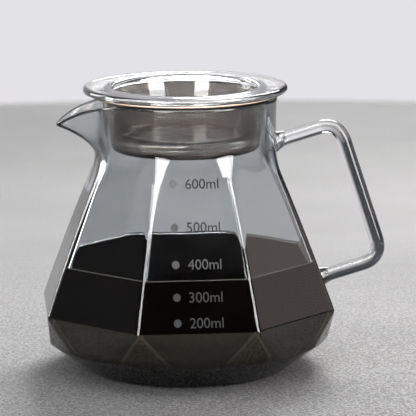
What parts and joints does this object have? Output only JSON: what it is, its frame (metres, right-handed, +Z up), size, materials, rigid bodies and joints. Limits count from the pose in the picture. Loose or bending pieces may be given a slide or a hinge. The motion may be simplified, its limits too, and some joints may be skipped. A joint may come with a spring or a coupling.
{
  "type": "glass carafe",
  "caption": "Faceted glass coffee server with a drooping pouring beak, a bent rod handle and a lift-off glass lid on a soft-sleeved plug.",
  "frame": {"origin": "centre of the flat foot, on the vessel's axis, on the surface that it stands on", "axes": "+Z up the vessel's axis, +X towards the handle, -X towards the beak, -Y towards the facet with the volume scale"},
  "size_m": [0.1411, 0.1174, 0.1171],
  "materials": {
    "body_glass": "polished, faintly grey, facets with fire-rounded creases",
    "handle_glass": "fire-polished clear rod",
    "lid_glass": "polished and clear",
    "sleeve_silicone": "smooth satin, smoky brown and slightly translucent"
  },
  "bodies": {
    "carafe": {"carafe_body": "body_glass", "handle": "handle_glass"},
    "lid": {"lid_glass": "lid_glass", "lid_sleeve": "sleeve_silicone"}
  },
  "joints": [
    {"name": "lid_lift", "type": "slide", "parent": "carafe", "child": "lid", "axis": [0, 0, 1], "range_m": [0, 0.05]}
  ]
}
